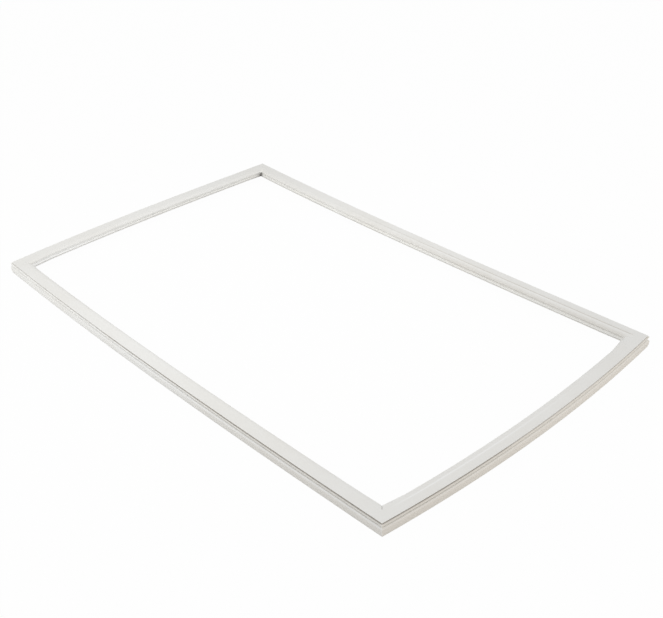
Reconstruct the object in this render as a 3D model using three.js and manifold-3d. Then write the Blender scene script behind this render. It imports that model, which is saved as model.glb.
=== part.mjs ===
// Refrigerator door gasket: a soft PVC extrusion, mitred and heat-welded at its four corners into
// one closed frame, with a flexible magnet strip in the pocket of each side.
// Millimetres, +Z up. The gasket lies on its skirt with the sealing face up, and the origin is the
// middle of its footprint.
import * as THREE from "three";
import { mergeVertices } from "three/addons/utils/BufferGeometryUtils.js";
import Module from "manifold-3d";

// Frame, from corner to corner of the sealing lip's outer edge
const FRAME_LENGTH = 916;
const FRAME_WIDTH = 575;

// The soft sides lie in slight bows: how far the middle lies outside the line between its corners,
// and how far the bow leans towards one end
const BOW_FRONT = 8.3;
const BOW_RIGHT = 16.5;
const BOW_BACK = -8.1;
const BOW_LEFT = 7.6;
const LEAN_FRONT = -0.18;
const LEAN_RIGHT = 0;
const LEAN_BACK = 0.3;
const LEAN_LEFT = 0.32;

// Magnet strips
const MAGNET_WIDTH = 10;
const MAGNET_THICKNESS = 3.8;
const MAGNET_CLEARANCE = 0.35;
const MAGNET_CORNER_GAP = 42;

// Head: magnet pocket, sealing lip and outer bead
const FACE_WALL = 1.1;
const POCKET_SIDE_WALL = 0.9;
const POCKET_FLOOR = 1;
const LIP_REACH = 1.6;
const LIP_THICKNESS = 0.6;
const LIP_GROOVE_HEIGHT = 0.9;
const BEAD_REACH = 1.5;
const BEAD_HEIGHT = 4.8;
const BEAD_SLANT_REACH = 1.7;
const BEAD_SLANT_HEIGHT = 2;
const CREASE_DEPTH = 0.35;
const CREASE_WIDTH = 1.1;

// Air bulb along the inner edge of the head, and the bellows between the head and the base
const BULB_REACH = 10.3;
const BULB_HEIGHT = 8;
const BULB_WALL = 0.8;
const BELLOWS_HEIGHT = 1;
const BELLOWS_WALL = 0.8;
const BELLOWS_INNER_REACH = 9.3;

// Base plate, whose inner edge is split into an upper and a longer lower lip by a groove
const BASE_THICKNESS = 2.5;
const UPPER_LIP_REACH = 4;
const UPPER_LIP_THICKNESS = 1;
const EDGE_GROOVE_HEIGHT = 0.3;
const EDGE_GROOVE_DEPTH = 0.6;
const LOWER_LIP_OVERHANG = 0.8;

// Skirt that covers the edge of the door
const SKIRT_DEPTH = 11.4;
const SKIRT_WALL = 1.5;
const SKIRT_FOOT_REACH = 0.7;
const SKIRT_BELLY_REACH = 2.3;
const SHOULDER_REACH = 2.5;
const SHOULDER_HEIGHT = 1.4;

// Barbed dart that is pushed into the groove of the door
const DART_LENGTH = 6.6;
const DART_STEM = 2;
const DART_TIP = 1;
const BARB_REACH = 1.5;
const BARB_RISE = 0.4;
const BARB_HEIGHT = 1.7;
const BARB_DEPTHS = [2, 4.4];

// Vents that let the air out of the bulb, punched from below near each weld
const VENT_DIAMETER = 3;
const VENT_CORNER_GAP = 32;
const VENT_INSET = 3.8;

// Rounding of the section's corners
const EDGE_RADIUS = 0.4;
const BEAD_RADIUS = 2.2;
const BEAD_SLANT_RADIUS = 1.3;
const SHOULDER_RADIUS = 1.2;
const LIP_RADIUS = 0.3;

// Fineness of the curves
const CORNER_STEPS = 2;
const BULB_STEPS = 9;
const SKIRT_STEPS = 5;
const LONG_STEPS = 8;
const SHORT_STEPS = 8;
const VENT_SIDES = 10;

// Colours
const PVC_COLOUR = "#e3e2dc";
const MAGNET_COLOUR = "#3b3733";

// Heights in the section
const BASE_UNDER = SKIRT_DEPTH;
const BASE_TOP = BASE_UNDER + BASE_THICKNESS;
const HEAD_UNDER = BASE_TOP + BELLOWS_HEIGHT;
const POCKET_BOTTOM = HEAD_UNDER + POCKET_FLOOR;
const MAGNET_BOTTOM = POCKET_BOTTOM + MAGNET_CLEARANCE;
const POCKET_TOP = MAGNET_BOTTOM + MAGNET_THICKNESS + MAGNET_CLEARANCE;
const FACE = POCKET_TOP + FACE_WALL;
const BULB_MIDDLE = FACE - BULB_HEIGHT / 2;
const BEAD_TOP = FACE - LIP_THICKNESS - LIP_GROOVE_HEIGHT;
const BEAD_UNDER = BEAD_TOP - BEAD_HEIGHT;

// Distances across the section, positive towards the outside of the frame from the lip's edge
const POCKET_OUTER = -LIP_REACH - POCKET_SIDE_WALL;
const POCKET_INNER = POCKET_OUTER - MAGNET_WIDTH - 2 * MAGNET_CLEARANCE;
const CREASE = POCKET_INNER - POCKET_SIDE_WALL;
const BULB_ROOT = CREASE - CREASE_WIDTH / 2;
const MAGNET_MIDDLE = (POCKET_OUTER + POCKET_INNER) / 2;
const BELLOWS_OUTER = -LIP_REACH;
const BELLOWS_INNER = CREASE - BELLOWS_INNER_REACH;
const UPPER_LIP = BELLOWS_INNER - UPPER_LIP_REACH;
const LOWER_LIP = UPPER_LIP - LOWER_LIP_OVERHANG;

const wasm = await Module();
wasm.setup();

// Outline through corners [across, height, radius]; a corner without a radius stays sharp.
function roundedOutline(corners) {
  return corners.flatMap(([across, height, radius = 0], i) => {
    const here = new THREE.Vector2(across, height);
    if (radius === 0) {
      return [here];
    }
    const before = new THREE.Vector2(...corners.at(i - 1)).sub(here);
    const after = new THREE.Vector2(...corners[(i + 1) % corners.length]).sub(here);
    const start = before.setLength(Math.min(radius, before.length() / 2)).add(here);
    const end = after.setLength(Math.min(radius, after.length() / 2)).add(here);
    return new THREE.QuadraticBezierCurve(start, here, end).getPoints(CORNER_STEPS);
  });
}

// The bulb's wall from the crease round to the bellows, "wall" inside its outer surface.
function bulbCurve(wall) {
  const reach = BULB_REACH - CREASE_WIDTH / 2 - wall;
  const rise = BULB_HEIGHT / 2 - wall;
  const end = 2 * Math.PI - Math.acos((BELLOWS_INNER + wall - BULB_ROOT) / reach);
  const curve = new THREE.EllipseCurve(BULB_ROOT, BULB_MIDDLE, reach, rise, Math.PI / 2, end);
  return curve.getPoints(BULB_STEPS).map((p) => [p.x, p.y]);
}

// The skirt's side from its foot up to "top", "wall" inside its outer surface.
function skirtCurve(wall, top) {
  const foot = new THREE.Vector2(SKIRT_FOOT_REACH - wall, 0);
  const belly = new THREE.Vector2(SKIRT_BELLY_REACH - wall, top / 2);
  const shoulder = new THREE.Vector2(SHOULDER_REACH - wall, top);
  const curve = new THREE.QuadraticBezierCurve(foot, belly, shoulder);
  return curve.getPoints(SKIRT_STEPS).map((p) => [p.x, p.y]);
}

// The dart, from its root on the inner side down round the tip and up on the outer side.
function dartCorners() {
  const stem = DART_STEM / 2;
  const side = [[stem, BASE_UNDER]];
  for (const depth of BARB_DEPTHS) {
    const height = BASE_UNDER - depth;
    side.push([stem, height], [stem + BARB_REACH, height - BARB_RISE], [stem, height - BARB_HEIGHT]);
  }
  side.push([DART_TIP / 2, BASE_UNDER - DART_LENGTH]);
  const inner = side.map(([across, height]) => [MAGNET_MIDDLE - across, height]);
  const outer = side.map(([across, height]) => [MAGNET_MIDDLE + across, height]);
  return [...inner, ...outer.reverse()];
}

// Outer surface of the section, anticlockwise from the lip's edge.
function sectionOutline() {
  const upperLipUnder = BASE_TOP - UPPER_LIP_THICKNESS;
  const lowerLipTop = upperLipUnder - EDGE_GROOVE_HEIGHT;
  return roundedOutline([
    [0, FACE, LIP_RADIUS],
    [CREASE + CREASE_WIDTH / 2, FACE],
    [CREASE, FACE - CREASE_DEPTH],
    ...bulbCurve(0),
    [BELLOWS_INNER, BASE_TOP],
    [UPPER_LIP, BASE_TOP, EDGE_RADIUS],
    [UPPER_LIP, upperLipUnder],
    [UPPER_LIP + EDGE_GROOVE_DEPTH, upperLipUnder],
    [UPPER_LIP + EDGE_GROOVE_DEPTH, lowerLipTop],
    [LOWER_LIP, lowerLipTop],
    [LOWER_LIP, BASE_UNDER, EDGE_RADIUS],
    ...dartCorners(),
    ...skirtCurve(SKIRT_WALL, BASE_UNDER).reverse(),
    ...skirtCurve(0, BASE_TOP - SHOULDER_HEIGHT),
    [SHOULDER_REACH, BASE_TOP, SHOULDER_RADIUS],
    [BELLOWS_OUTER, BASE_TOP],
    [BELLOWS_OUTER, BEAD_UNDER],
    [BEAD_REACH - BEAD_SLANT_REACH, BEAD_UNDER],
    [BEAD_REACH, BEAD_UNDER + BEAD_SLANT_HEIGHT, BEAD_SLANT_RADIUS],
    [BEAD_REACH, BEAD_TOP, BEAD_RADIUS],
    [-LIP_REACH, BEAD_TOP],
    [-LIP_REACH, FACE - LIP_THICKNESS],
    [0, FACE - LIP_THICKNESS, LIP_RADIUS],
  ]);
}

function pocketOutline() {
  return roundedOutline([
    [POCKET_OUTER, POCKET_TOP],
    [POCKET_INNER, POCKET_TOP],
    [POCKET_INNER, POCKET_BOTTOM],
    [POCKET_OUTER, POCKET_BOTTOM],
  ]);
}

// The air chamber: the inside of the bulb and of the bellows under the pocket.
function chamberOutline() {
  return roundedOutline([
    [CREASE, POCKET_TOP],
    ...bulbCurve(BULB_WALL),
    [BELLOWS_INNER + BELLOWS_WALL, BASE_TOP],
    [BELLOWS_OUTER - BELLOWS_WALL, BASE_TOP],
    [BELLOWS_OUTER - BELLOWS_WALL, HEAD_UNDER],
    [CREASE, HEAD_UNDER],
  ]);
}

// The four sides, anticlockwise seen from above, each from one corner of the lip to the next.
const right = FRAME_LENGTH / 2;
const back = FRAME_WIDTH / 2;
const corners = [[-right, -back], [right, -back], [right, back], [-right, back]];
const sides = [
  { name: "front", bow: BOW_FRONT, lean: LEAN_FRONT, steps: LONG_STEPS },
  { name: "right", bow: BOW_RIGHT, lean: LEAN_RIGHT, steps: SHORT_STEPS },
  { name: "back", bow: BOW_BACK, lean: LEAN_BACK, steps: LONG_STEPS },
  { name: "left", bow: BOW_LEFT, lean: LEAN_LEFT, steps: SHORT_STEPS },
].map((side, i) => {
  const start = new THREE.Vector2(...corners[i]);
  const along = new THREE.Vector2(...corners[(i + 1) % corners.length]).sub(start);
  const length = along.length();
  along.normalize();
  const stride = (length - 2 * MAGNET_CORNER_GAP) / side.steps;
  const distances = Array.from({ length: side.steps + 1 }, (_, step) => MAGNET_CORNER_GAP + step * stride);
  return { ...side, start, length, along, outward: new THREE.Vector2(along.y, -along.x), distances };
});

// A point of a side at "distance" from its first corner and "across" from the lip's edge.
function sidePoint(side, distance, across) {
  const t = distance / side.length;
  const bow = 4 * side.bow * t * (1 - t) * (1 + side.lean * (2 * t - 1));
  return side.start
    .clone()
    .addScaledVector(side.along, distance)
    .addScaledVector(side.outward, bow + across);
}

// Stations round the frame: each side's mitre with the side before, then its own distances.
const stations = sides.flatMap((side, i) => {
  const before = sides.at(i - 1);
  const mitre = (across) =>
    side.start.clone().addScaledVector(side.outward, across).addScaledVector(before.outward, across);
  return [mitre, ...side.distances.map((distance) => (across) => sidePoint(side, distance, across))];
});

// A section carried round the whole frame, as a closed solid.
function frameSolid(outline) {
  const profile = [...outline, outline[0]];
  const ring = new THREE.LatheGeometry(profile, stations.length);
  const position = ring.getAttribute("position");
  for (let i = 0; i < position.count; i += 1) {
    const station = stations[Math.floor(i / profile.length) % stations.length];
    const { x: across, y: height } = profile[i % profile.length];
    const point = station(across);
    position.setXYZ(i, point.x, point.y, height);
  }
  return toSolid(ring);
}

function toSolid(geometry) {
  geometry.deleteAttribute("normal");
  geometry.deleteAttribute("uv");
  const merged = mergeVertices(geometry, 1e-4);
  const vertProperties = new Float32Array(merged.getAttribute("position").array);
  const triVerts = new Uint32Array(merged.getIndex().array);
  return new wasm.Manifold(new wasm.Mesh({ numProp: 3, vertProperties, triVerts }));
}

function toGeometry(solid) {
  const mesh = solid.getMesh();
  const geometry = new THREE.BufferGeometry();
  geometry.setAttribute("position", new THREE.BufferAttribute(mesh.vertProperties, mesh.numProp));
  geometry.setIndex(new THREE.BufferAttribute(mesh.triVerts, 1));
  geometry.computeVertexNormals();
  return geometry;
}

// A vent goes up through the base, the air chamber and the pocket's floor.
function ventSolid(side, distance) {
  const bottom = BASE_UNDER - BASE_THICKNESS / 2;
  const top = (POCKET_BOTTOM + POCKET_TOP) / 2;
  const radius = VENT_DIAMETER / 2;
  const vent = new THREE.CylinderGeometry(radius, radius, top - bottom, VENT_SIDES);
  const place = sidePoint(side, distance, MAGNET_MIDDLE - VENT_INSET);
  vent.rotateX(Math.PI / 2);
  vent.translate(place.x, place.y, (bottom + top) / 2);
  return toSolid(vent);
}

function gasketFrame() {
  let solid = frameSolid(sectionOutline());
  solid = solid.subtract(frameSolid(pocketOutline()));
  solid = solid.subtract(frameSolid(chamberOutline()));
  for (const side of sides) {
    for (const distance of [VENT_CORNER_GAP, side.length - VENT_CORNER_GAP]) {
      solid = solid.subtract(ventSolid(side, distance));
    }
  }
  return toGeometry(solid);
}

// A magnet strip lies along its side and follows the bow.
function magnetStrip(side) {
  const outline = new THREE.Shape([
    new THREE.Vector2(-MAGNET_WIDTH / 2, 0),
    new THREE.Vector2(MAGNET_WIDTH / 2, 0),
    new THREE.Vector2(MAGNET_WIDTH / 2, MAGNET_THICKNESS),
    new THREE.Vector2(-MAGNET_WIDTH / 2, MAGNET_THICKNESS),
  ]);
  const steps = side.steps;
  const strip = new THREE.ExtrudeGeometry(outline, { depth: steps, steps, bevelEnabled: false });
  const position = strip.getAttribute("position");
  for (let i = 0; i < position.count; i += 1) {
    const distance = side.distances[Math.round(position.getZ(i))];
    const point = sidePoint(side, distance, MAGNET_MIDDLE - position.getX(i));
    position.setXYZ(i, point.x, point.y, MAGNET_BOTTOM + position.getY(i));
  }
  return toGeometry(toSolid(strip));
}

const frame = new THREE.Group();

const pvc = new THREE.MeshStandardMaterial({ color: PVC_COLOUR, roughness: 0.55, metalness: 0 });
const gasket = new THREE.Mesh(gasketFrame(), pvc);
gasket.name = "gasket_frame";
frame.add(gasket);

for (const side of sides) {
  const ferrite = new THREE.MeshStandardMaterial({ color: MAGNET_COLOUR, roughness: 0.7, metalness: 0 });
  const strip = new THREE.Mesh(magnetStrip(side), ferrite);
  strip.name = `magnet_strip_${side.name}`;
  frame.add(strip);
}

// Put the middle of the footprint at the origin.
const middle = new THREE.Box3().setFromObject(frame).getCenter(new THREE.Vector3());
frame.position.set(-middle.x, -middle.y, 0);
const object = new THREE.Group();
object.add(frame);

export default object;
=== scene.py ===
import math
from typing import NamedTuple

import bpy
import numpy as np
from mathutils import Matrix, Vector


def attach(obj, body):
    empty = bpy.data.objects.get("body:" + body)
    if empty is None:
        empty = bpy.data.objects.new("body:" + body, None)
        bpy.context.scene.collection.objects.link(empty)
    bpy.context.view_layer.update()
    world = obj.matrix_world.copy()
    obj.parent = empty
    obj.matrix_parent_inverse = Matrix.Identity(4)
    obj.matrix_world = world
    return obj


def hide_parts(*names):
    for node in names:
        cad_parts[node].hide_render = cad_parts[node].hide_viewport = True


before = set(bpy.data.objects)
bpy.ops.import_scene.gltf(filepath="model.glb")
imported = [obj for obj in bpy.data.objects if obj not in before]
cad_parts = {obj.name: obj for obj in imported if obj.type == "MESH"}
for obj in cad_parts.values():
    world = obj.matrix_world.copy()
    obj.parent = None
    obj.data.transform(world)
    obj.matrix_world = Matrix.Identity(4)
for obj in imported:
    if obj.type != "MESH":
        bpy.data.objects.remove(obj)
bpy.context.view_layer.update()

bl_info = {
    "name": "Refrigerator Door Gasket",
    "version": (1, 0, 0),
    "blender": (4, 5, 0),
    "location": "View3D > Sidebar > Gasket",
    "description": "Builds a welded soft PVC door gasket with its magnet strips, and a white studio",
    "category": "Add Mesh",
}

MM = 0.001

# Heights in the section, in millimetres above the floor
BASE_UNDER = 11.4
BASE_TOP = 13.9
HEAD_UNDER = 14.9
POCKET_BOTTOM = 15.9
POCKET_TOP = 20.4
FACE = 21.5
BULB_HEIGHT = 8.0
BULB_MIDDLE = FACE - BULB_HEIGHT / 2
BEAD_TOP = 20.0
BEAD_UNDER = 15.2
LIP_UNDER = FACE - 0.6
UPPER_LIP_UNDER = BASE_TOP - 1.0
LOWER_LIP_TOP = BASE_TOP - 1.3
SKIRT_TOP = BASE_TOP - 3.4
SHOULDER_BEND = BASE_TOP - 2.3

# Distances across the section, positive towards the outside of the frame from the lip's edge
LIP_ROOT = -1.6
POCKET_OUTER = -2.5
POCKET_INNER = -13.2
CREASE = -14.1
BULB_INNER = -24.4
BELLOWS_OUTER = -1.6
BELLOWS_INNER = -23.4
UPPER_LIP = -27.4
EDGE_GROOVE = UPPER_LIP + 0.6
LOWER_LIP = -28.2
BEAD = 1.5
SKIRT_FOOT = 0.7
SKIRT_BELLY = 2.3
SHOULDER = 2.35
DART = (POCKET_OUTER + POCKET_INNER) / 2
VENT_ACROSS = DART - 3.8

# Walls, dart and vents
SOFT_WALL = 0.8
SKIRT_WALL = 1.5
BARB_DEPTHS = (2.0, 4.4)
DART_LENGTH = 6.6
VENT_RADIUS = 1.5
VENT_FROM_WELD = 32.0

# Stations along a side: how far the mitre reaches, those near a weld, and the spacing between them
MITRE_RUN = 60.0
WELD_STEPS = (0.0, 0.3, 0.7, 1.3, 3.0, 7.0, 14.0, 26.0, 40.0, 60.0)
STATION_SPACING = 14.0

# How far each bow leans towards the side's end: front, right, back, left
BOW_LEANS = (-0.18, 0.0, 0.3, 0.32)

# How far and how wide the bulb gapes at the weld of each corner, from the front left one anticlockwise; the
# width also sets the reach of the painted seam shadow at the front right and back left corners
SEAM_DEPTHS = (0.9, 2.4, 0.9, 1.6)
SEAM_WIDTHS = (0.6, 0.9, 0.6, 8.0)

# Height and width of the bead that a weld leaves
WELD_BEAD = 0.14
WELD_BEAD_WIDTH = 0.45

# Names of the marks that the PVC's material reads: painted shade, yellowing with painted shade, painted light
# and a painted seam shadow
MARKS = ("painted_shade", "yellow_and_shade", "painted_light", "painted_seam_shadow")

# Edges sharper than this angle, in degrees, stay sharp
SHARP_ANGLE = 32.0

# Studio, in metres: the floor's reach and drop, and where the camera stands and how it is turned
FLOOR_REACH = 60.0
FLOOR_DROP = 0.0002
CAMERA_PLACE = (1.11357, -0.94685, 0.9188)
CAMERA_FORWARD = (-0.62937, 0.56572, -0.53277)
CAMERA_RIGHT = (0.68165, 0.73110, -0.02893)


def unit(vectors):
    """The vectors at length 1."""
    return vectors / np.maximum(np.linalg.norm(vectors, axis=-1, keepdims=True), 1e-9)


def rounded(corners, steps=4):
    """Outline through corners (across, height, radius); a corner without a radius stays sharp."""
    points = []
    for i, corner in enumerate(corners):
        here = np.array(corner[:2], float)
        if len(corner) < 3:
            points.append(here)
            continue
        before = np.array(corners[i - 1][:2], float) - here
        after = np.array(corners[(i + 1) % len(corners)][:2], float) - here
        start = here + unit(before) * min(corner[2], np.linalg.norm(before) / 2)
        end = here + unit(after) * min(corner[2], np.linalg.norm(after) / 2)
        for t in np.linspace(0, 1, steps + 1):
            points.append((1 - t) ** 2 * start + 2 * t * (1 - t) * here + t * t * end)
    return np.array(points)


def bulb_curve(wall, squareness, droop, steps=26):
    """The bulb's wall from the crease round to the bellows, "wall" inside its outer surface."""
    root = CREASE - 0.55
    reach = root - BULB_INNER - wall
    rise = BULB_HEIGHT / 2 - wall
    power = 2 / squareness
    end = math.pi - math.asin(min(1.0, (root - BELLOWS_INNER - wall) / reach) ** (1 / power))
    points = []
    for angle in np.linspace(0, end, steps):
        side = abs(math.sin(angle)) ** power
        height = math.copysign(abs(math.cos(angle)) ** power, math.cos(angle))
        fall = droop * side * max(0.0, height)
        points.append((root - reach * side, BULB_MIDDLE + rise * height - fall))
    return points


def skirt_curve(wall, top, steps=14):
    """The skirt's side from its foot up to "top", "wall" inside its outer surface."""
    foot = np.array((SKIRT_FOOT - wall, 0.0))
    belly = np.array((SKIRT_BELLY - wall, 0.5 * top))
    shoulder = np.array((SHOULDER - wall, top))
    parts = np.linspace(0, 1, steps)
    return [(1 - t) ** 2 * foot + 2 * t * (1 - t) * belly + t * t * shoulder for t in parts]


def dart_corners():
    """The barbed dart, from its root on the inner side round the tip to its root on the outer side."""
    side = [(1.0, BASE_UNDER)]
    for depth in BARB_DEPTHS:
        height = BASE_UNDER - depth
        side += [(1.0, height), (2.5, height - 0.4), (1.0, height - 1.7)]
    side.append((0.5, BASE_UNDER - DART_LENGTH))
    return [(DART - a, h) for a, h in side] + [(DART + a, h) for a, h in reversed(side)]


class Slack(NamedTuple):
    """How the soft section lies at one place, in millimetres but for the squareness of the bulb."""

    crease: float = 0.12
    squareness: float = 2.5
    droop: float = 0.2
    lip_gap: float = 0.0
    neck_gap: float = 0.0


def section(slack):
    """Outer surface of the extruded section, anticlockwise from the lip's edge."""
    bead_top = BEAD_TOP - slack.lip_gap
    bead_under = BEAD_UNDER + slack.neck_gap
    return rounded([
        (0.0, FACE, 0.28),
        (LIP_ROOT, FACE),
        (-6.0, FACE),
        (-10.0, FACE),
        (CREASE + 0.75, FACE, 0.4),
        (CREASE, FACE - slack.crease, 0.3),
        *bulb_curve(0, slack.squareness, slack.droop),
        (BELLOWS_INNER, BASE_TOP, 0.25),
        (UPPER_LIP, BASE_TOP, 0.5),
        (UPPER_LIP, UPPER_LIP_UNDER, 0.2),
        (EDGE_GROOVE, UPPER_LIP_UNDER, 0.1),
        (EDGE_GROOVE, LOWER_LIP_TOP, 0.1),
        (LOWER_LIP, LOWER_LIP_TOP, 0.3),
        (LOWER_LIP, BASE_UNDER, 0.4),
        *dart_corners(),
        *reversed(skirt_curve(SKIRT_WALL, BASE_UNDER)),
        *skirt_curve(0, SKIRT_TOP),
        (SHOULDER, SHOULDER_BEND, 1.0),
        (0.9, BASE_TOP, 1.2),
        (BELLOWS_OUTER, BASE_TOP, 0.3),
        (BELLOWS_OUTER, bead_under, 0.3),
        (-0.2, bead_under, 0.8),
        (BEAD, bead_under + 2.0, 1.3),
        (BEAD, bead_top, 2.3),
        (LIP_ROOT - slack.lip_gap, bead_top, 0.3),
        (LIP_ROOT - slack.lip_gap, LIP_UNDER, 0.15),
        (0.0, LIP_UNDER, 0.28),
    ])


def pocket_section():
    """The pocket that holds the magnet strip."""
    return rounded([
        (POCKET_OUTER, POCKET_TOP),
        (POCKET_INNER, POCKET_TOP),
        (POCKET_INNER, POCKET_BOTTOM),
        (POCKET_OUTER, POCKET_BOTTOM),
    ])


def chamber_section():
    """The air chamber inside the bulb and the bellows."""
    return rounded([
        (CREASE, POCKET_TOP),
        *bulb_curve(SOFT_WALL, 2.3, 0.0, 12),
        (BELLOWS_INNER + SOFT_WALL, BASE_TOP),
        (BELLOWS_OUTER - SOFT_WALL, BASE_TOP),
        (BELLOWS_OUTER - SOFT_WALL, HEAD_UNDER),
        (CREASE, HEAD_UNDER),
    ])


def outward_normals(outline):
    """Unit normals of a closed anticlockwise outline, pointing out of it."""
    along = np.roll(outline, -1, axis=0) - np.roll(outline, 1, axis=0)
    return unit(np.stack((along[:, 1], -along[:, 0]), axis=1))


class Side:
    """One side of the frame, from one corner of the lip's edge to the next, in millimetres."""

    def __init__(self, start, end, bow, lean):
        self.start = np.array(start, float)
        run = np.array(end, float) - self.start
        self.length = float(np.linalg.norm(run))
        self.along = run / self.length
        self.outward = np.array((self.along[1], -self.along[0]))
        self.bow = bow
        self.lean = lean

    def bowed(self, distance):
        """How far the soft side lies outside its straight line."""
        t = distance / self.length
        return 4 * self.bow * t * (1 - t) * (1 + self.lean * (2 * t - 1))

    def points(self, distance, across):
        """Places at a station's distance for several distances across; near a weld they follow the mitre."""
        from_end = self.length - distance
        skew = 0.0
        if distance < MITRE_RUN:
            skew = -(1 - distance / MITRE_RUN)
        elif from_end < MITRE_RUN:
            skew = 1 - from_end / MITRE_RUN
        along = distance + skew * across
        out = self.bowed(distance) + across
        return self.start + along[:, None] * self.along + out[:, None] * self.outward


def station_distances(length):
    """Distances along a side: close together at the welds and even between them."""
    count = max(2, round((length - 2 * MITRE_RUN) / STATION_SPACING))
    even = np.linspace(MITRE_RUN, length - MITRE_RUN, count + 1)[1:-1]
    return [*WELD_STEPS, *even, *(length - d for d in reversed(WELD_STEPS[1:]))]


def lay_out(settings):
    """The four sides, anticlockwise from above, with the middle of the footprint at the origin."""
    half_x = settings.frame_length / MM / 2
    half_y = settings.frame_width / MM / 2
    shift = np.array((settings.shift_x, settings.shift_y)) / MM
    corners = [shift + (x * half_x, y * half_y) for x, y in ((-1, -1), (1, -1), (1, 1), (-1, 1))]
    bows = (settings.bow_front, settings.bow_right, settings.bow_back, settings.bow_left)
    return [Side(corners[i], corners[(i + 1) % 4], bows[i] / MM, BOW_LEANS[i]) for i in range(4)]


def smooth(edge0, edge1, value):
    """Smooth step from 0 at edge0 to 1 at edge1."""
    t = min(1.0, max(0.0, (value - edge0) / (edge1 - edge0)))
    return t * t * (3 - 2 * t)


def slack_at(side_index, t):
    """How the section lies on side 0 to 3 (front, right, back, left), t of the way along it."""
    if side_index == 0:
        nearer = smooth(0.0, 1.0, t)
        neck_gap = 1.1 * smooth(0.1, 0.7, t) - 1.2
        return Slack(squareness=2.6, droop=0.15, lip_gap=1.0 * nearer + 0.25, neck_gap=neck_gap)
    if side_index == 1:
        return Slack(crease=0.05, lip_gap=0.7 - 0.4 * smooth(0.1, 0.7, t), neck_gap=-0.4)
    if side_index == 2:
        strength = 1 - smooth(0.35, 0.75, t)
        return Slack(0.1 + 0.35 * strength, 2.5 - 0.4 * strength, 0.2 + 0.9 * strength)
    return Slack()


def band(value, middle, width):
    """1 at the middle of a soft band and 0 beyond it."""
    return np.exp(-(((value - middle) / width) ** 2))


def marks_at(side_index, t, corner, seam, outline):
    """Painted shade, yellowing with painted shade, painted light and painted seam shadow for each point of an
    outline, one column each, 0 to 1.
    """
    across, height = outline.T
    nearer = (smooth(0.2, 1.0, t), 1 - smooth(0.0, 0.7, t), 0.0, 0.0)[side_index]
    # Painted shade goes in the groove under the lip, at the outer neck and in the slot under the upper lip
    lip = (across < -0.3) & (across > -3.5) & (height > 18.4) & (height < 21.0)
    neck = (across < -0.6) & (across > -2) & (height > 13.6) & (height < 15.6)
    slot = (across < UPPER_LIP + 1) & (height > 12.5) & (height < 13.0)
    top = height > 20.4
    # Painted shadow: near-black in the slit under the bulb's inner side at the front right weld, and on the
    # inner neck and base at the back left weld
    if corner == 1:
        painted_seam_shadow = np.clip((-16.0 - across) / 4.0, 0, 1) * (height > HEAD_UNDER) * seam
    elif corner == 3:
        painted_seam_shadow = (across < -20.0) * (height < HEAD_UNDER) * (seam ** 0.4 if side_index == 3 else seam)
    else:
        painted_seam_shadow = across * 0
    crease = band(across, CREASE, 0.9) * top
    painted_shade = lip * (0.85 + 0.15 * nearer) + neck * 0.3 * nearer + slot * 0.5
    # Painted shade on the back side: a dark line along the crease and a darker inner side of the bulb
    if side_index == 2:
        stretch = smooth(0.0, 0.012, t) * (1 - smooth(0.3, 0.8, t))
        bulb_side = np.clip((-17 - across) / 6, 0, 1) * (height > HEAD_UNDER)
        painted_shade = painted_shade + crease * 0.8 * stretch + bulb_side * (0.14 + 0.3 * stretch)
    # Yellowed PVC with painted shade: the outer walls are warmer and darker, fully on the right side, towards
    # the front right corner on the front side and faintly on the back side
    wall = np.clip((across + 0.5) / 1.0, 0, 1) * (height < 20.3)
    yellow_and_shade = wall * (0.5 * smooth(0.4, 1.0, t), 1.0, 0.2, 0.0)[side_index]
    # Painted light: a painted highlight along the outer shoulder on the front and right sides and along the
    # right side's crease, and painted light on the inner neck and base of the left side near its front end
    shoulder = band(height, 13.2, 1.0) * (across > 0)
    neck_side = (across < -18) * (height < 17)
    if side_index == 0:
        painted_light = shoulder * 0.9 * smooth(0.15, 0.5, t)
    elif side_index == 1:
        painted_light = crease * smooth(0.0, 0.12, t) * (1 - smooth(0.3, 0.75, t)) + shoulder * 0.35
    elif side_index == 3:
        painted_light = neck_side * 0.8 * smooth(0.4, 0.9, t)
    else:
        painted_light = across * 0
    return np.stack((painted_shade, yellow_and_shade, painted_light, painted_seam_shadow), axis=1)


def sweep(sides, outline_at, welded):
    """Vertices, quads, (along, around) coordinates and marks of a section carried round the frame."""
    vertices = []
    marks = []
    places = []
    for index, side in enumerate(sides):
        for distance in station_distances(side.length):
            t = distance / side.length
            outline = outline_at(index, t)
            near = min(distance, side.length - distance)
            corner = index if t < 0.5 else (index + 1) % 4
            seam = math.exp(-((near / SEAM_WIDTHS[corner]) ** 2))
            marks.append(marks_at(index, t, corner, seam, outline))
            if welded:
                bulb = np.clip((-19.0 - outline[:, 0]) / 2.0, 0, 1) * (outline[:, 1] > HEAD_UNDER)
                bead = WELD_BEAD * math.exp(-((near / WELD_BEAD_WIDTH) ** 2))
                offset = bead * (1 - bulb) - SEAM_DEPTHS[corner] * seam * bulb
                outline = outline + outward_normals(outline) * offset[:, None]
                outline[:, 1] = np.clip(outline[:, 1], 0, FACE)
            if distance == 0.0:
                flat = side.start + outline[:, :1] * side.outward + outline[:, :1] * sides[index - 1].outward
            else:
                flat = side.points(distance, outline[:, 0])
            vertices.append(np.column_stack((flat, outline[:, 1])))
            places.append(index + distance * MM)
    count = len(vertices[0])
    rings = len(vertices)
    quads = []
    for i in range(rings):
        a = i * count
        b = (i + 1) % rings * count
        for j in range(count):
            k = (j + 1) % count
            quads.append((a + j, b + j, b + k, a + k))
    outline = outline_at(0, 0.0)
    around = np.concatenate([[0], np.cumsum(np.linalg.norm(np.diff(outline, axis=0), axis=1))]) * MM
    along = np.repeat(places, count)
    return np.concatenate(vertices) * MM, quads, along, np.tile(around, rings), np.concatenate(marks)


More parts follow.
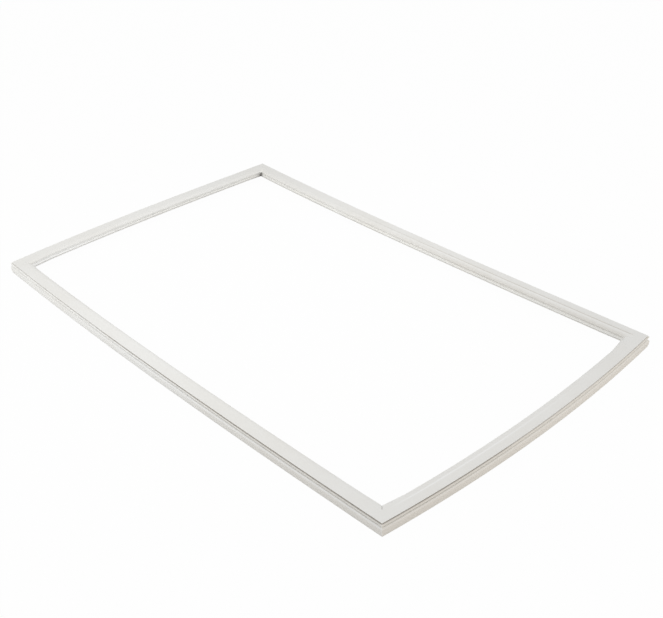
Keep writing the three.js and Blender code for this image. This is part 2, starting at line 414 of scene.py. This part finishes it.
def mesh_object(name, vertices, faces):
    """A new mesh object in the scene."""
    mesh = bpy.data.meshes.new(name)
    mesh.from_pydata(vertices.tolist(), [], faces)
    mesh.update()
    piece = bpy.data.objects.new(name, mesh)
    bpy.context.scene.collection.objects.link(piece)
    return piece


def shade(mesh):
    """Smooth shading that keeps the sharp edges."""
    mesh.polygons.foreach_set("use_smooth", [True] * len(mesh.polygons))
    mesh.set_sharp_from_angle(angle=math.radians(SHARP_ANGLE))


class Value:
    """A node socket whose Python operators add the matching Math nodes."""

    def __init__(self, shader, socket):
        self.shader = shader
        self.socket = socket

    def _math(self, operation, *values):
        return self.shader.node("ShaderNodeMath", {"operation": operation}, dict(enumerate(values)))[0]

    def __add__(self, other):
        return self._math("ADD", self, other)

    __radd__ = __add__

    def __mul__(self, other):
        return self._math("MULTIPLY", self, other)

    __rmul__ = __mul__

    def clamped(self):
        """The value, held between 0 and 1."""
        return self.shader.node("ShaderNodeClamp", {}, {0: self, 1: 0.0, 2: 1.0})[0]

    def between(self, low, high):
        """0 below low, 1 above high and smooth between them."""
        settings = {"interpolation_type": "SMOOTHSTEP"}
        return self.shader.node("ShaderNodeMapRange", settings, {0: self, 1: low, 2: high})[0]


class Shader:
    """A material's node tree, built from expressions."""

    def __init__(self, name):
        self.material = bpy.data.materials.new(name)
        self.material.use_nodes = True
        self.tree = self.material.node_tree
        self.tree.nodes.clear()
        self.output = self.tree.nodes.new("ShaderNodeOutputMaterial")

    def node(self, kind, settings=None, inputs=None):
        """Adds a node with its settings and the values or links of its sockets; returns its outputs."""
        made = self.tree.nodes.new(kind)
        for key, value in (settings or {}).items():
            setattr(made, key, value)
        for key, value in (inputs or {}).items():
            socket = made.inputs[key]
            if isinstance(value, Value):
                self.tree.links.new(value.socket, socket)
            else:
                socket.default_value = value
        return [Value(self, socket) for socket in made.outputs]

    def mix(self, factor, first, second):
        """A colour between two colours."""
        settings = {"data_type": "RGBA"}
        return self.node("ShaderNodeMix", settings, {0: factor, 6: first, 7: second})[2]

    def scaled(self, vector, factors):
        """A vector times three numbers."""
        return self.node("ShaderNodeVectorMath", {"operation": "MULTIPLY"}, {0: vector, 1: factors})[0]

    def noise(self, vector, scale, detail=2.0, roughness=0.5):
        """Noise from 0 to 1."""
        inputs = {"Vector": vector, "Scale": scale, "Detail": detail, "Roughness": roughness}
        return self.node("ShaderNodeTexNoise", {}, inputs)[0]

    def surface(self, shader):
        """Puts a shader on the output and returns the material."""
        self.tree.links.new(shader.socket, self.output.inputs["Surface"])
        return self.material


def rgba(colour):
    """A property's colour as four numbers."""
    return (*colour[:3], 1.0)


def soft_pvc(settings):
    """Off-white soft PVC: faint lengthwise draw lines and a slight yellow cast, with painted shade in the
    grooves and on the outer walls, painted highlights and a painted seam shadow.
    """
    pvc = Shader("soft_pvc")
    place = pvc.node("ShaderNodeTexCoord")[3]
    profile = pvc.node("ShaderNodeUVMap", {"uv_map": "Profile"})[0]
    cloud = pvc.noise(place, 9.0, 3.0)
    mottle = pvc.noise(place, 60.0, 4.0, 0.6)
    draw = pvc.noise(pvc.scaled(profile, (3.0, 320.0, 0.0)), 1.0, 2.0)
    attributes = (pvc.node("ShaderNodeAttribute", {"attribute_name": name}) for name in MARKS)
    painted_shade, yellow_and_shade, painted_light, painted_seam_shadow = (outputs[2] for outputs in attributes)
    aged = (cloud * 0.7 + mottle * 0.3).between(0.38, 0.68)
    colour = pvc.mix(aged * 0.6, rgba(settings.pvc_colour), rgba(settings.pvc_aged_colour))
    colour = pvc.mix(draw.between(0.45, 0.75) * 0.12, colour, rgba(settings.pvc_aged_colour))
    # Yellow cast with painted shade on the outer walls
    colour = pvc.mix((yellow_and_shade * (0.85 + cloud * 0.15)).clamped(), colour, rgba(settings.yellow_and_shade_colour))
    # Painted highlights and painted light
    colour = pvc.mix(painted_light.clamped(), colour, rgba(settings.painted_light_colour))
    # Painted shade in the grooves and on the back bulb's inner side
    colour = pvc.mix((painted_shade * (0.7 + mottle * 0.3)).clamped(), colour, rgba(settings.painted_shade_colour))
    # Painted shadow in the gaping seams
    colour = pvc.mix((painted_seam_shadow * 0.95).clamped(), colour, rgba(settings.painted_seam_shadow_colour))
    rough = 0.42 + cloud * 0.1 + draw * 0.08 + painted_shade * 0.2
    height = draw * 0.6 + mottle * 0.4
    bump = pvc.node("ShaderNodeBump", {}, {"Strength": 0.12, "Distance": 0.0001, "Height": height})[0]
    inputs = {
        "Base Color": colour,
        "Roughness": rough,
        "IOR": 1.52,
        "Specular IOR Level": 0.42,
        "Normal": bump,
    }
    return pvc.surface(pvc.node("ShaderNodeBsdfPrincipled", {}, inputs)[0])


def bonded_ferrite(settings):
    """Matt dark magnet strip with a fine grain and lighter slip powder."""
    ferrite = Shader("bonded_ferrite")
    place = ferrite.node("ShaderNodeTexCoord")[3]
    grain = ferrite.noise(place, 900.0, 3.0, 0.7)
    powder = ferrite.noise(place, 70.0, 4.0, 0.6).between(0.55, 0.75)
    colour = ferrite.mix(grain * 0.5, rgba(settings.magnet_colour), (0.07, 0.062, 0.055, 1.0))
    colour = ferrite.mix(powder * 0.25, colour, (0.3, 0.29, 0.28, 1.0))
    bump = ferrite.node("ShaderNodeBump", {}, {"Strength": 0.3, "Distance": 0.0001, "Height": grain})[0]
    inputs = {"Base Color": colour, "Roughness": 0.62 + grain * 0.25, "Normal": bump}
    return ferrite.surface(ferrite.node("ShaderNodeBsdfPrincipled", {}, inputs)[0])


def vent_cutters(sides):
    """Upright pins where the vents are punched, as one object."""
    vertices = []
    faces = []
    turns = 20
    for side in sides:
        for distance in (VENT_FROM_WELD, side.length - VENT_FROM_WELD):
            centre = side.start + distance * side.along
            centre = centre + (side.bowed(distance) + VENT_ACROSS) * side.outward
            first = len(vertices)
            for height in (BASE_UNDER - 0.8, (POCKET_BOTTOM + POCKET_TOP) / 2):
                for i in range(turns):
                    angle = 2 * math.pi * i / turns
                    x = centre[0] + VENT_RADIUS * math.cos(angle)
                    y = centre[1] + VENT_RADIUS * math.sin(angle)
                    vertices.append((x * MM, y * MM, height * MM))
            faces.append(tuple(first + i for i in reversed(range(turns))))
            faces.append(tuple(first + turns + i for i in range(turns)))
            for i in range(turns):
                j = (i + 1) % turns
                faces.append((first + i, first + j, first + turns + j, first + turns + i))
    return mesh_object("vent_cutters", np.array(vertices), faces)


def write_profile(mesh, along, around, marks):
    """Stores where each corner lies on the extrusion, and the marks of each vertex."""
    layer = mesh.uv_layers.new(name="Profile")
    index = np.empty(len(mesh.loops), int)
    mesh.loops.foreach_get("vertex_index", index)
    values = np.stack((along[index], around[index]), axis=1)
    layer.data.foreach_set("uv", values.ravel())
    for name, column in zip(MARKS, marks.T):
        attribute = mesh.attributes.new(name, "FLOAT", "POINT")
        attribute.data.foreach_set("value", np.ascontiguousarray(column))


class GasketSettings(bpy.types.PropertyGroup):
    frame_length: bpy.props.FloatProperty(
        name="Frame Length", description="Long side between the corners of the lip's edge",
        default=0.916, min=0.2, unit="LENGTH")
    frame_width: bpy.props.FloatProperty(
        name="Frame Width", description="Short side between the corners of the lip's edge",
        default=0.575, min=0.2, unit="LENGTH")
    shift_x: bpy.props.FloatProperty(
        name="Shift X", description="Where the frame's middle lies in the footprint",
        default=-0.00438, unit="LENGTH")
    shift_y: bpy.props.FloatProperty(
        name="Shift Y", description="Where the frame's middle lies in the footprint",
        default=0.00415, unit="LENGTH")
    bow_front: bpy.props.FloatProperty(
        name="Front Bow", description="How far the front side bows out", default=0.0083, unit="LENGTH")
    bow_right: bpy.props.FloatProperty(
        name="Right Bow", description="How far the right side bows out", default=0.0165, unit="LENGTH")
    bow_back: bpy.props.FloatProperty(
        name="Back Bow", description="How far the back side bows out", default=-0.0081, unit="LENGTH")
    bow_left: bpy.props.FloatProperty(
        name="Left Bow", description="How far the left side bows out", default=0.0076, unit="LENGTH")
    pvc_colour: bpy.props.FloatVectorProperty(
        name="PVC", description="Colour of the clean PVC", subtype="COLOR", size=3,
        default=(0.9, 0.895, 0.875))
    pvc_aged_colour: bpy.props.FloatVectorProperty(
        name="Aged PVC", description="Colour of the slightly yellowed PVC", subtype="COLOR", size=3,
        default=(0.86, 0.845, 0.81))
    # Colour of the painted shade in the grooves, at the necks and on the back bulb's inner side
    painted_shade_colour: bpy.props.FloatVectorProperty(
        name="Dust", description="Colour of the dust in the grooves", subtype="COLOR", size=3,
        default=(0.55, 0.51, 0.45))
    # Colour of the yellowed outer walls, darker than the PVC as painted shade
    yellow_and_shade_colour: bpy.props.FloatVectorProperty(
        name="Yellowed PVC", description="Colour of the yellowed outer wall", subtype="COLOR", size=3,
        default=(0.88, 0.83, 0.755))
    # Colour of the painted highlights and painted light
    painted_light_colour: bpy.props.FloatVectorProperty(
        name="Paler PVC", description="Colour of the paler PVC at folds and edges", subtype="COLOR", size=3,
        default=(0.985, 0.985, 0.98))
    # Colour of the painted shadow in the gaping seams
    painted_seam_shadow_colour: bpy.props.FloatVectorProperty(
        name="Open Seam", description="Colour inside a seam that gapes", subtype="COLOR", size=3,
        default=(0.12, 0.11, 0.1))
    magnet_colour: bpy.props.FloatVectorProperty(
        name="Magnet", description="Colour of the bonded ferrite", subtype="COLOR", size=3,
        default=(0.045, 0.038, 0.033))


class StudioSettings(bpy.types.PropertyGroup):
    floor_colour: bpy.props.FloatVectorProperty(
        name="Floor", description="Colour of the floor", subtype="COLOR", size=3, default=(0.7, 0.7, 0.7))
    lens: bpy.props.FloatProperty(
        name="Lens", description="Focal length on a 36 mm sensor", default=56.89, min=10.0)
    ambient: bpy.props.FloatProperty(
        name="Ambient", description="Strength of the even light from all round", default=0.585, min=0.0)
    over_power: bpy.props.FloatProperty(
        name="Lamp Over", description="Power of the lamp over the middle in watts", default=1.5, min=0.0)
    over_colour: bpy.props.FloatVectorProperty(
        name="Lamp Over Colour", description="Colour of both lamps over the frame", subtype="COLOR", size=3,
        default=(1.0, 1.0, 0.98))
    left_power: bpy.props.FloatProperty(
        name="Lamp Left", description="Power of the lamp over the left side in watts", default=0.25, min=0.0)
    front_power: bpy.props.FloatProperty(
        name="Lamp Front", description="Power of the low lamp in front in watts", default=4.8, min=0.0)
    front_colour: bpy.props.FloatVectorProperty(
        name="Lamp Front Colour", description="Colour of the low lamp in front", subtype="COLOR", size=3,
        default=(1.0, 1.0, 0.98))
    right_power: bpy.props.FloatProperty(
        name="Lamp Right", description="Power of the low lamp on the right in watts", default=3.0, min=0.0)
    right_colour: bpy.props.FloatVectorProperty(
        name="Lamp Right Colour", description="Colour of the low lamp on the right", subtype="COLOR", size=3,
        default=(1.03, 1.0, 0.95))


class GASKET_OT_frame(bpy.types.Operator):
    """Build the welded gasket frame"""

    bl_idname = "gasket.frame"
    bl_label = "Gasket Frame"

    def execute(self, context):
        settings = context.scene.gasket
        sides = lay_out(settings)
        layers = [sweep(sides, lambda i, t: section(slack_at(i, t)), True)]
        for outline in (pocket_section(), chamber_section()):
            vertices, quads, along, around, marks = sweep(sides, lambda i, t, outline=outline: outline, False)
            layers.append((vertices, [q[::-1] for q in quads], along, around, marks * 0))
        starts = np.cumsum([0, *(len(layer[0]) for layer in layers)])
        faces = [tuple(start + v for v in q) for start, layer in zip(starts, layers) for q in layer[1]]
        vertices, along, around, marks = (
            np.concatenate([layer[i] for layer in layers]) for i in (0, 2, 3, 4))
        gasket = mesh_object("gasket_profile", vertices, faces)
        write_profile(gasket.data, along, around, marks)
        cutters = vent_cutters(sides)
        punch = gasket.modifiers.new("vents", "BOOLEAN")
        punch.operation = "DIFFERENCE"
        punch.solver = "EXACT"
        punch.object = cutters
        evaluated = gasket.evaluated_get(context.evaluated_depsgraph_get())
        mesh = bpy.data.meshes.new_from_object(evaluated)
        gasket.modifiers.clear()
        gasket.data = mesh
        bpy.data.objects.remove(cutters)
        shade(mesh)
        mesh.materials.clear()
        mesh.materials.append(soft_pvc(settings))
        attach(gasket, "root")
        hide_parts("gasket_frame")
        return {"FINISHED"}


class GASKET_OT_magnets(bpy.types.Operator):
    """Finish the magnet strips inside the pockets"""

    bl_idname = "gasket.magnets"
    bl_label = "Magnet Strips"

    def execute(self, context):
        ferrite = bonded_ferrite(context.scene.gasket)
        for side in ("front", "right", "back", "left"):
            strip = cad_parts["magnet_strip_" + side]
            strip.data.materials.clear()
            strip.data.materials.append(ferrite)
        return {"FINISHED"}


def studio_floor(settings):
    """A white sheet that the camera sees nearly without shadow."""
    paper = Shader("studio_floor")
    diffuse = paper.node("ShaderNodeBsdfDiffuse", {}, {"Color": rgba(settings.floor_colour)})[0]
    glow = paper.node("ShaderNodeEmission", {}, {"Color": (1.0, 1.0, 1.0, 1.0), "Strength": 1.0})[0]
    path = paper.node("ShaderNodeLightPath")
    seen = (path[0] + path[3] + path[6]).clamped()
    surface = paper.node("ShaderNodeMixShader", {}, {0: seen * 0.98, 1: diffuse, 2: glow})[0]
    return paper.surface(surface)


def soft_lamp(name, place, target, size, power, colour):
    """A square area lamp that faces a point."""
    data = bpy.data.lights.new(name, "AREA")
    data.shape = "SQUARE"
    data.size = size
    data.energy = power
    data.color = colour
    lamp = bpy.data.objects.new(name, data)
    lamp.location = place
    lamp.rotation_euler = (Vector(target) - Vector(place)).to_track_quat("-Z", "Y").to_euler()
    bpy.context.scene.collection.objects.link(lamp)


class GASKET_OT_studio(bpy.types.Operator):
    """Build the floor, the lamps, the world and the camera"""

    bl_idname = "gasket.studio"
    bl_label = "Studio"

    def execute(self, context):
        scene = context.scene
        settings = scene.gasket_studio
        scene.view_settings.view_transform = "Standard"

        corners = np.array([(-1, -1, 0), (1, -1, 0), (1, 1, 0), (-1, 1, 0)]) * FLOOR_REACH
        floor = mesh_object("floor", corners, [(0, 1, 2, 3)])
        floor.location.z = -FLOOR_DROP
        floor.data.materials.append(studio_floor(settings))

        world = bpy.data.worlds.new("studio")
        scene.world = world
        world.use_nodes = True
        tree = world.node_tree
        tree.nodes.clear()
        output = tree.nodes.new("ShaderNodeOutputWorld")
        even = tree.nodes.new("ShaderNodeBackground")
        even.inputs["Color"].default_value = (1.0, 1.0, 1.0, 1.0)
        even.inputs["Strength"].default_value = settings.ambient
        seen = tree.nodes.new("ShaderNodeBackground")
        seen.inputs["Color"].default_value = (1.0, 1.0, 1.0, 1.0)
        seen.inputs["Strength"].default_value = 1.0
        path = tree.nodes.new("ShaderNodeLightPath")
        blend = tree.nodes.new("ShaderNodeMixShader")
        tree.links.new(path.outputs["Is Camera Ray"], blend.inputs[0])
        tree.links.new(even.outputs[0], blend.inputs[1])
        tree.links.new(seen.outputs[0], blend.inputs[2])
        tree.links.new(blend.outputs[0], output.inputs["Surface"])

        soft_lamp(
            "over_lamp", (-0.1, 0.0, 0.7), (-0.1, 0.0, 0.0), 0.5,
            settings.over_power, settings.over_colour)
        soft_lamp(
            "left_lamp", (-0.5, 0.0, 1.0), (-0.4, 0.0, 0.0), 0.6,
            settings.left_power, settings.over_colour)
        soft_lamp(
            "front_lamp", (-0.6, -1.3, 0.5), (-0.4, -0.1, 0.0), 0.7,
            settings.front_power, settings.front_colour)
        soft_lamp(
            "right_lamp", (1.5, 0.3, 0.5), (0.2, 0.0, 0.0), 0.8,
            settings.right_power, settings.right_colour)

        data = bpy.data.cameras.new("camera")
        data.sensor_fit = "HORIZONTAL"
        data.sensor_width = 36.0
        data.lens = settings.lens
        data.clip_start = 0.01
        data.clip_end = 200.0
        camera = bpy.data.objects.new("camera", data)
        scene.collection.objects.link(camera)
        forward = Vector(CAMERA_FORWARD).normalized()
        right = Vector(CAMERA_RIGHT)
        right = (right - forward * right.dot(forward)).normalized()
        up = right.cross(forward)
        turn = Matrix((right, up, -forward)).transposed()
        camera.matrix_world = Matrix.Translation(CAMERA_PLACE) @ turn.to_4x4()
        scene.camera = camera
        return {"FINISHED"}


class GASKET_PT_panel(bpy.types.Panel):
    """Sizes, colours and steps of the gasket"""

    bl_label = "Door Gasket"
    bl_idname = "GASKET_PT_panel"
    bl_space_type = "VIEW_3D"
    bl_region_type = "UI"
    bl_category = "Gasket"

    def draw(self, context):
        layout = self.layout
        for group in (context.scene.gasket, context.scene.gasket_studio):
            for name in group.__annotations__:
                layout.prop(group, name)
        for operator in (GASKET_OT_frame, GASKET_OT_magnets, GASKET_OT_studio):
            layout.operator(operator.bl_idname)


CLASSES = (
    GasketSettings,
    StudioSettings,
    GASKET_OT_frame,
    GASKET_OT_magnets,
    GASKET_OT_studio,
    GASKET_PT_panel,
)


def register():
    for cls in CLASSES:
        bpy.utils.register_class(cls)
    bpy.types.Scene.gasket = bpy.props.PointerProperty(type=GasketSettings)
    bpy.types.Scene.gasket_studio = bpy.props.PointerProperty(type=StudioSettings)


def unregister():
    del bpy.types.Scene.gasket_studio
    del bpy.types.Scene.gasket
    for cls in reversed(CLASSES):
        bpy.utils.unregister_class(cls)


def main():
    """Registers the add-on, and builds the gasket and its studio."""
    register()
    bpy.ops.gasket.frame()
    bpy.ops.gasket.magnets()
    bpy.ops.gasket.studio()


if __name__ == "__main__":
    main()
